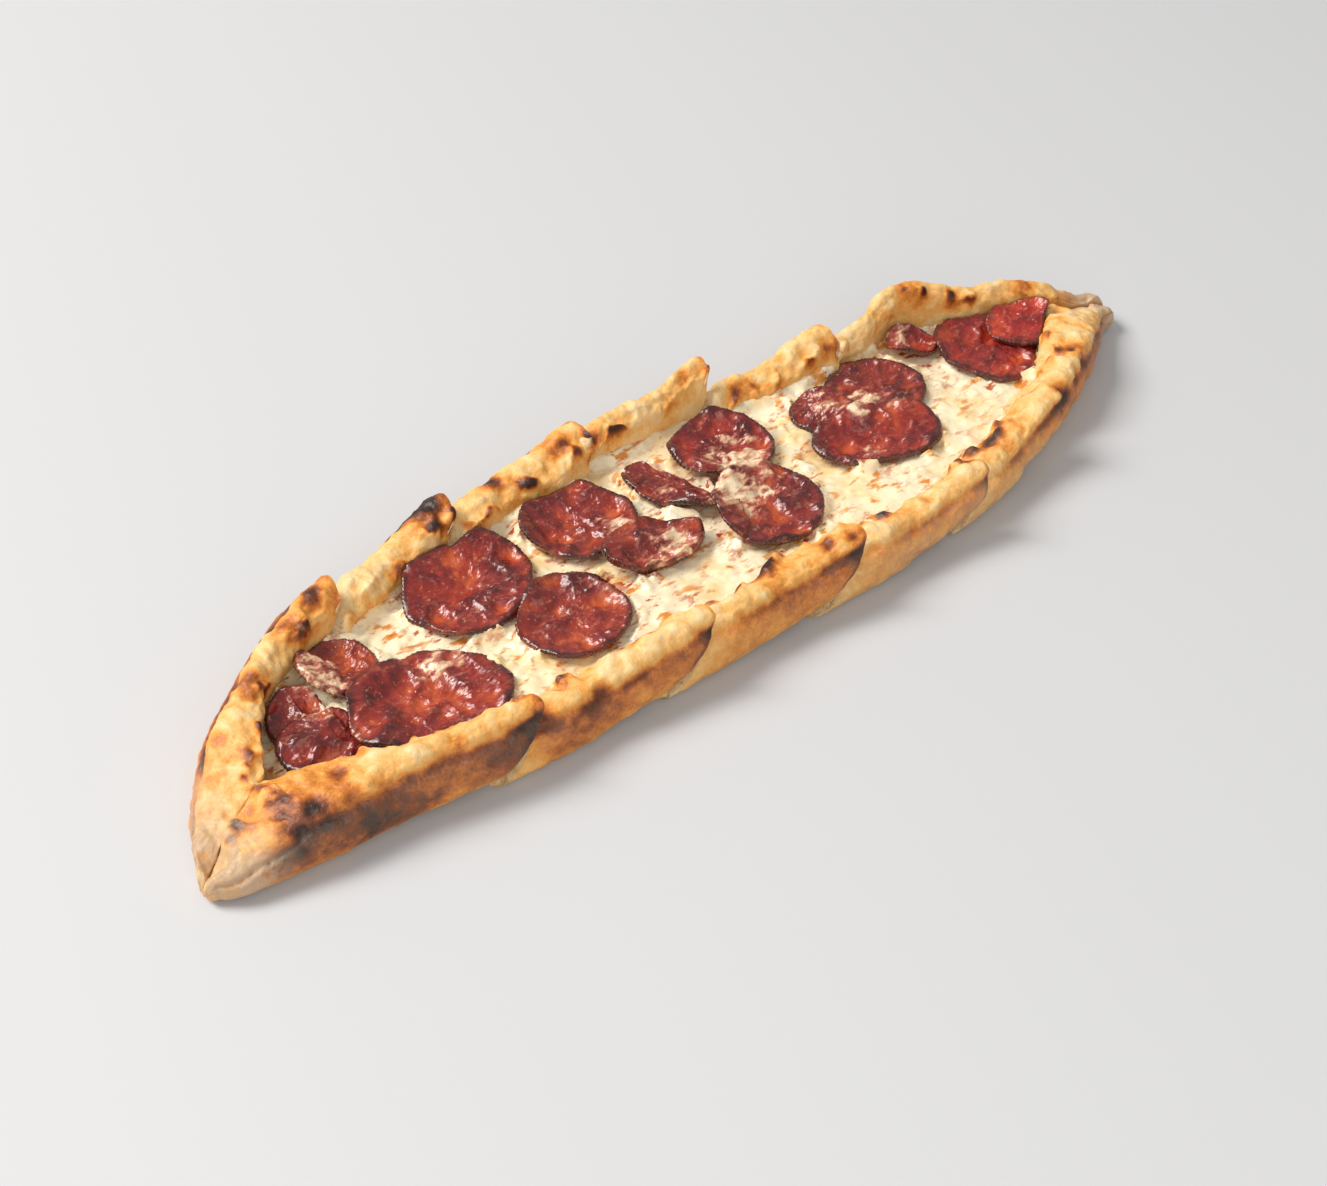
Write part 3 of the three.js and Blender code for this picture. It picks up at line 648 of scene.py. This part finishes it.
def between_flaps(x, y):
    """Whether a point at the filling's level lies between the flaps, clear of both."""
    clear = np.zeros(x.shape, dtype=bool)
    middles = [cut_x + skew * (y - centre(np.array(cut_x))) for cut_x, skew, _ in CUTS]
    number = sum((x > middle).astype(int) for middle in middles)
    for index in range(len(CUTS) + 1):
        left = CUTS[index - 1][1] if index > 0 else 0.0
        right = CUTS[index][1] if index < len(CUTS) else 0.0
        inside = np.ones(x.shape, dtype=bool)
        for side, rims in ((1, FAR_RIMS), (-1, NEAR_RIMS)):
            rim = rim_at(x + side * (left + right) / 2.0 * rims[index][1], rims[index], side)
            inside &= side * (y - rim.middle) < rim.half - rim.flap - CHEESE_INSET * rim.opened
        clear |= inside & (number == index)
    return clear


def neighbours(number):
    """The earlier slices that a slice may lie on."""
    one = SUCUK[number]
    return [
        other for other in range(number)
        if math.hypot(SUCUK[other].x - one.x, SUCUK[other].y - one.y)
        < max(one.a, one.b) + max(SUCUK[other].a, SUCUK[other].b) + COVER.reach
    ]


def underside(number, x, y):
    """The height of a slice's underside: the highest of the cheese, its slope and the slices below."""
    one = SUCUK[number]
    share, u, v = in_round(one, x, y)
    lean = one.slope[0] * (x - one.x) + one.slope[1] * (y - one.y)
    height = cheese_top(x, y) + SUCUK_GAP + np.maximum(0.0, lean)
    for other in neighbours(number):
        height = np.maximum(height, cover(other, x, y) + SUCUK_GAP)
    direction, rise = one.raised
    towards = (u * math.cos(direction - one.turn) / one.a + v * math.sin(direction - one.turn) / one.b)
    height = height + rise * smooth(towards, 0.2, 1.1) + one.fold * bell(v / one.b, 0.1, 0.32)
    return height + one.curl * np.minimum(1.0, share) ** 4


def cover(number, x, y):
    """The upper face of a slice, which falls away past its edge, as far as another lies on it."""
    one = SUCUK[number]
    share, _, _ = in_round(one, x, y)
    past = np.maximum(0.0, share - COVER.start) * min(one.a, one.b)
    top = underside(number, x, y) + one.thickness - COVER.fall * past
    return np.where(past > COVER.reach, -1e3, top)


def reach_of(one, angle):
    """How far a slice reaches at each angle, as a share of its half-widths: a flap may press it in."""
    steps = np.arange(1.0, 0.28, -0.02)[:, None]
    u = one.a * steps * np.cos(angle)[None, :]
    v = one.b * steps * np.sin(angle)[None, :]
    v = v if one.chord is None else np.maximum(v, one.chord)
    x = one.x + u * math.cos(one.turn) - v * math.sin(one.turn)
    y = one.y + u * math.sin(one.turn) + v * math.cos(one.turn)
    free = between_flaps(x, y)
    return np.where(free.any(axis=0), steps[np.argmax(free, axis=0), 0], steps[-1, 0])


def sausage_slice(number, material):
    """One slice of sucuk: a disc in polar samples, out over its top, round its crimped edge and below."""
    one = SUCUK[number]
    angle = np.linspace(0.0, 2.0 * np.pi, SECTORS, endpoint=False)
    reach = reach_of(one, angle)
    smoothing = np.exp(-0.5 * (np.arange(-4, 5) / 1.6) ** 2)
    reach = sum(w * np.roll(reach, k) for w, k in zip(smoothing / smoothing.sum(), range(-4, 5)))
    around = np.cos(angle) * one.a, np.sin(angle) * one.b, np.full_like(angle, 40.0 * number)
    ring = np.stack(around, axis=-1)
    reach = reach * (1.0 + 0.085 * noise(ring, 13.0, 31) + 0.012 * noise(ring, 3.0, 32))

    top = np.linspace(0.0, 1.0, TOP_RINGS)
    edge, edge_level = np.array(CRIMPED_EDGE).T
    below = np.linspace(1.0, 0.0, BELOW_RINGS)
    out = np.concatenate([top, edge, below])[:, None]
    level = np.concatenate([np.ones(TOP_RINGS), edge_level, np.zeros(BELOW_RINGS)])[:, None]
    u = one.a * out * reach[None, :] * np.cos(angle)[None, :]
    v = one.b * out * reach[None, :] * np.sin(angle)[None, :]
    if one.chord is not None:
        v = np.maximum(v, one.chord + 0.6 * noise(np.stack([u, v, u * 0.0], -1), 4.0, 33))
    x = one.x + u * math.cos(one.turn) - v * math.sin(one.turn)
    y = one.y + u * math.sin(one.turn) + v * math.cos(one.turn)
    spot = np.stack([x, y, np.full_like(x, 25.0 * number)], axis=-1)
    lumps = fractal(spot, 9.0, 34, 2)
    fine = fractal(spot, 2.6, 35, 3)
    film = np.zeros_like(x)
    drawn = noise(spot @ DRAWN_OUT * DRAWN_STRETCH, 3.0, 37)
    for film_x, film_y, radius, strength in FILMS:
        away = np.hypot(x - film_x, y - film_y) / radius
        ragged = 1.3 - away + 0.5 * drawn + 0.3 * fine + 0.25 * lumps
        film = np.maximum(film, strength * smooth(ragged, 0.0, 1.0))
    charred = mix(0.65, 1.0, smooth(lumps + 0.6 * fine, -0.9, 0.1))
    edge_share = smooth(out + 0.02 * fine, 0.88, 0.98) * charred
    thick = one.thickness * (1.0 - 0.25 * smooth(out, 0.93, 1.0))
    folds = ridges(spot, 7.5, 36)
    relief = (0.8 * lumps + 0.46 * fine + 1.0 * folds + film * (0.5 + 0.6 * drawn)) * (level > 0.5)
    crimps = round(CRIMP.per_mm * (one.a + one.b))
    crimp = CRIMP.depth * np.sin(angle * crimps)[None, :] * bell(out, 1.012, 0.02)
    z = underside(number, x, y) + thick * level + relief * (1.0 - 0.5 * edge_share)
    z = z + 0.35 * lumps * (level <= 0.5)
    x = x + crimp * np.cos(angle + one.turn)[None, :]
    y = y + crimp * np.sin(angle + one.turn)[None, :]
    grid_points = np.stack([x, y, z], axis=-1)
    rows = len(out)
    inner = grid_points[1:-1].reshape(-1, 3)
    points = np.concatenate([grid_points[:1, 0], inner, grid_points[-1:, 0]])
    grid = np.empty((rows, SECTORS), dtype=np.int64)
    grid[0], grid[-1] = 0, len(points) - 1
    grid[1:-1] = 1 + np.arange((rows - 2) * SECTORS).reshape(rows - 2, SECTORS)
    triangles = quads(np.concatenate([grid, grid[:, :1]], axis=1))[:, ::-1]

    def per_point(values):
        return np.concatenate([values[:1, 0], values[1:-1].ravel(), values[-1:, 0]])

    values = {
        "edge": per_point(edge_share),
        "film": per_point(film * (level > 0.3)),
        "tone": np.full(len(points), one.tone),
        "rise": per_point(0.45 + 0.24 * lumps + 0.18 * folds + 0.10 * fine),
    }
    piece = mesh_object(f"sausage_{number + 1:02d}", points, triangles, values, material, sharp=80.0)
    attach(piece, "root")
    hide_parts(f"sucuk_{number + 1:02d}")


# Materials.

def new_finish(name):
    """An empty node material with its output and its shader."""
    material = bpy.data.materials.new(name)
    material.use_nodes = True
    tree = material.node_tree
    tree.nodes.clear()
    shader = tree.nodes.new("ShaderNodeBsdfPrincipled")
    output = tree.nodes.new("ShaderNodeOutputMaterial")
    tree.links.new(shader.outputs["BSDF"], output.inputs["Surface"])
    return material, tree, shader


def add_node(tree, kind, settings=None, **inputs):
    """A node with its settings, each input linked to a socket or set to a value.

    An input is named, with underscores for spaces, or counted, as i0."""
    node = tree.nodes.new(kind)
    for key, value in (settings or {}).items():
        setattr(node, key, value)
    for key, value in inputs.items():
        counted = key[0] == "i" and key[1:].isdigit()
        socket = node.inputs[int(key[1:]) if counted else key.replace("_", " ")]
        if isinstance(value, bpy.types.NodeSocket):
            tree.links.new(value, socket)
        else:
            socket.default_value = value
    return node


def attribute(tree, name):
    """The value of one of the mesh's own point attributes."""
    return add_node(tree, "ShaderNodeAttribute", {"attribute_name": name}).outputs["Fac"]


def speckle(tree, scale, detail=3.0, roughness=0.55, stretch=None):
    """Noise on object coordinates, at a number of waves per metre."""
    where = add_node(tree, "ShaderNodeTexCoord").outputs["Object"]
    if stretch is not None:
        turn, sizes = stretch
        mapping = add_node(tree, "ShaderNodeMapping", Vector=where, Rotation=(0.0, 0.0, turn), Scale=sizes)
        where = mapping.outputs["Vector"]
    return add_node(
        tree, "ShaderNodeTexNoise", Vector=where, Scale=scale, Detail=detail, Roughness=roughness
    ).outputs[0]


def math_node(tree, operation, a, b):
    """One arithmetic step between two sockets or numbers."""
    return add_node(tree, "ShaderNodeMath", {"operation": operation}, i0=a, i1=b).outputs[0]


def between(tree, value, low, high, start=0.0, end=1.0):
    """A value carried from one range to another, clamped, with soft ends."""
    return add_node(
        tree, "ShaderNodeMapRange", {"interpolation_type": "SMOOTHSTEP"},
        Value=value, From_Min=low, From_Max=high, To_Min=start, To_Max=end,
    ).outputs[0]


def blend(tree, factor, a, b):
    """A mix of two colours."""
    node = add_node(tree, "ShaderNodeMix", {"data_type": "RGBA"}, i0=factor, i6=a, i7=b)
    return node.outputs[2]


def ramp(tree, value, stops):
    """A colour ramp through its stops."""
    node = add_node(tree, "ShaderNodeValToRGB", Fac=value)
    elements = node.color_ramp.elements
    while len(elements) < len(stops):
        elements.new(0.5)
    for element, (position, colour) in zip(elements, stops):
        element.position = position
        element.color = (*colour, 1.0)
    return node.outputs["Color"]


def bumped(tree, height, strength, distance):
    """A bump from a height."""
    node = add_node(tree, "ShaderNodeBump", Strength=strength, Distance=distance, Height=height)
    return node.outputs["Normal"]


def crust_finish():
    """Baked crust: cream to gold, orange-brown and near-black as it browns and where shade is painted, with
    flour and cut crumb.
    """
    material, tree, shader = new_finish("baked_crust")
    coarse, fine = speckle(tree, 260.0, 4.0), speckle(tree, 900.0, 3.0)
    patches, specks = between(tree, coarse, 0.3, 0.7, -0.05, 0.05), between(tree, fine, 0.3, 0.7, -0.04, 0.04)
    wander = math_node(tree, "ADD", patches, specks)
    brown = math_node(tree, "ADD", attribute(tree, "brown"), wander)
    crust = ramp(tree, brown, [
        (0.0, (0.88, 0.65, 0.34)), (0.18, (0.86, 0.50, 0.16)), (0.34, (0.80, 0.335, 0.058)),
        (0.50, (0.56, 0.165, 0.022)), (0.68, (0.22, 0.052, 0.011)), (0.92, (0.036, 0.013, 0.008)),
    ])
    pores = between(tree, speckle(tree, 420.0, 5.0, 0.7), 0.32, 0.55)
    crumb = blend(tree, pores, (0.55, 0.35, 0.16, 1.0), (0.86, 0.66, 0.38, 1.0))
    colour = blend(tree, attribute(tree, "crumb"), crust, crumb)
    dusting = math_node(tree, "MULTIPLY", attribute(tree, "flour"), between(tree, coarse, 0.22, 0.56))
    dusting = math_node(tree, "MULTIPLY", dusting, 0.85)
    colour = blend(tree, dusting, colour, (0.56, 0.38, 0.235, 1.0))
    tree.links.new(colour, shader.inputs["Base Color"])
    tree.links.new(between(tree, brown, 0.1, 0.9, 0.5, 0.42), shader.inputs["Roughness"])
    grain = math_node(tree, "ADD", fine, math_node(tree, "MULTIPLY", coarse, 1.6))
    tree.links.new(bumped(tree, grain, 0.45, 0.0006), shader.inputs["Normal"])
    shader.inputs["Subsurface Weight"].default_value = 0.10
    shader.inputs["Subsurface Radius"].default_value = (0.004, 0.002, 0.0008)
    shader.inputs["Subsurface Scale"].default_value = 1.0
    shader.inputs["Specular IOR Level"].default_value = 0.45
    return material


def cheese_finish():
    """Melted cheese: ivory to warm yellow, with toasted flecks drawn out one way, and red oil."""
    material, tree, shader = new_finish("melted_cheese")
    soft = speckle(tree, 55.0, 3.0)
    body = blend(tree, between(tree, soft, 0.46, 0.70), (0.97, 0.84, 0.60, 1.0), (0.96, 0.68, 0.33, 1.0))
    streak = speckle(tree, 170.0, 3.0, 0.58, stretch=(STREAKS, (0.55, 1.25, 1.0)))
    toasted = between(tree, attribute(tree, "toast"), -0.1, 0.6)
    flecks = math_node(tree, "MULTIPLY", between(tree, streak, 0.535, 0.64), toasted)
    body = blend(tree, flecks, body, (0.72, 0.28, 0.045, 1.0))
    smear = speckle(tree, 210.0, 5.0, 0.68, stretch=(STREAKS, (0.6, 1.1, 1.0)))
    stain = math_node(tree, "MULTIPLY", attribute(tree, "oil"), between(tree, smear, 0.54, 0.63))
    body = blend(tree, stain, body, (0.46, 0.050, 0.012, 1.0))
    tree.links.new(body, shader.inputs["Base Color"])
    tree.links.new(between(tree, soft, 0.3, 0.7, 0.22, 0.38), shader.inputs["Roughness"])
    tree.links.new(bumped(tree, speckle(tree, 380.0, 3.0), 0.15, 0.0006), shader.inputs["Normal"])
    shader.inputs["Subsurface Weight"].default_value = 0.22
    shader.inputs["Subsurface Radius"].default_value = (0.005, 0.003, 0.0015)
    shader.inputs["Subsurface Scale"].default_value = 1.0
    return material


def sausage_finish():
    """Baked sucuk: dark red meat with orange and pale flecks, a near-black edge, oil, and films of cheese."""
    material, tree, shader = new_finish("baked_sucuk")
    marble, grain = speckle(tree, 210.0, 4.0, 0.6), speckle(tree, 620.0, 3.0, 0.6)
    tint = math_node(tree, "ADD", attribute(tree, "rise"), between(tree, marble, 0.3, 0.7, -0.10, 0.10))
    meat = ramp(tree, tint, [
        (0.14, (0.52, 0.090, 0.020)), (0.34, (0.31, 0.032, 0.015)), (0.54, (0.20, 0.018, 0.015)),
        (0.80, (0.075, 0.008, 0.011)),
    ])
    fresh = ramp(tree, tint, [
        (0.2, (0.52, 0.055, 0.02)), (0.5, (0.34, 0.018, 0.015)), (0.85, (0.14, 0.008, 0.010)),
    ])
    meat = blend(tree, attribute(tree, "tone"), meat, fresh)
    fat = math_node(tree, "MULTIPLY", between(tree, grain, 0.60, 0.70), 0.55)
    meat = blend(tree, fat, meat, (0.62, 0.27, 0.15, 1.0))
    rim = math_node(tree, "MULTIPLY", attribute(tree, "edge"), between(tree, marble, 0.2, 0.6, 0.98, 0.75))
    meat = blend(tree, rim, meat, (0.035, 0.010, 0.008, 1.0))
    strands = speckle(tree, 330.0, 3.0, 0.6, stretch=(STREAKS, (0.5, 1.3, 1.0)))
    film = math_node(tree, "ADD", attribute(tree, "film"), between(tree, strands, 0.3, 0.7, -0.3, 0.3))
    meat = blend(tree, between(tree, film, 0.12, 0.5, 0.0, 0.75), meat, (0.50, 0.17, 0.11, 1.0))
    meat = blend(tree, between(tree, film, 0.4, 0.75), meat, (0.80, 0.53, 0.33, 1.0))
    meat = blend(tree, between(tree, film, 0.7, 1.0), meat, (0.95, 0.80, 0.56, 1.0))
    tree.links.new(meat, shader.inputs["Base Color"])
    tree.links.new(between(tree, marble, 0.3, 0.7, 0.36, 0.19), shader.inputs["Roughness"])
    height = math_node(tree, "ADD", marble, math_node(tree, "MULTIPLY", grain, 0.35))
    tree.links.new(bumped(tree, height, 0.5, 0.0009), shader.inputs["Normal"])
    shader.inputs["Coat Weight"].default_value = 0.4
    shader.inputs["Coat Roughness"].default_value = 0.2
    shader.inputs["Subsurface Weight"].default_value = 0.08
    shader.inputs["Subsurface Radius"].default_value = (0.004, 0.001, 0.0008)
    shader.inputs["Subsurface Scale"].default_value = 1.0
    return material


crust, cheese, meat = crust_finish(), cheese_finish(), sausage_finish()
for slice_number in range(len(CUTS) + 1):
    dough_slice(slice_number, crust)
    cheese_slice(slice_number, cheese)
for round_number in range(len(SUCUK)):
    sausage_slice(round_number, meat)


# The stage: a plain pale floor, soft light from behind on the left, and the camera.

def pale_floor():
    """A flat square, a few metres across, just under the pide."""
    material, _, shader = new_finish("pale_floor")
    shader.inputs["Base Color"].default_value = (0.60, 0.615, 0.645, 1.0)
    shader.inputs["Roughness"].default_value = 0.6
    side = 4000.0
    corners = np.array([[-side, -side, 0.0], [side, -side, 0.0], [side, side, 0.0], [-side, side, 0.0]])
    floor = mesh_object("floor", corners, np.array([[0, 1, 2], [0, 2, 3]]), {}, material)


def soft_light(name, place, size, power, colour):
    """A square lamp that looks at the pide's middle."""
    lamp = bpy.data.lights.new(name, "AREA")
    lamp.shape = "SQUARE"
    lamp.size = size
    lamp.energy = power
    lamp.color = colour
    holder = bpy.data.objects.new(name, lamp)
    holder.location = place
    towards = np.array(place) / np.linalg.norm(place)
    holder.rotation_euler = (math.acos(towards[2]), 0.0, math.atan2(towards[1], towards[0]) + math.pi / 2.0)
    bpy.context.collection.objects.link(holder)


def photo_camera():
    """The camera of the photograph: its place, the point that it looks at and its lens."""
    place = np.array([-0.37643, -0.37038, 0.45075])
    target = np.array([-0.02909, -0.00987, 0.0])
    back = (place - target) / np.linalg.norm(place - target)
    data = bpy.data.cameras.new("camera")
    data.sensor_fit = "HORIZONTAL"
    data.sensor_width = 36.0
    data.lens = 51.54
    camera = bpy.data.objects.new("camera", data)
    camera.location = place
    camera.rotation_euler = (math.acos(back[2]), 0.0, math.atan2(back[1], back[0]) + math.pi / 2.0)
    bpy.context.collection.objects.link(camera)
    bpy.context.scene.camera = camera


pale_floor()
soft_light("window", (-1.3, 1.7, 2.5), 1.5, 112.0, (1.0, 0.96, 0.90))
soft_light("fill", (-0.9, -1.2, 0.9), 1.4, 10.0, (1.0, 0.97, 0.93))
world = bpy.data.worlds.new("studio")
world.use_nodes = True
world.node_tree.nodes["Background"].inputs["Color"].default_value = (1.0, 0.98, 0.95, 1.0)
world.node_tree.nodes["Background"].inputs["Strength"].default_value = 0.40
bpy.context.scene.world = world
bpy.context.scene.view_settings.view_transform = "Standard"
photo_camera()
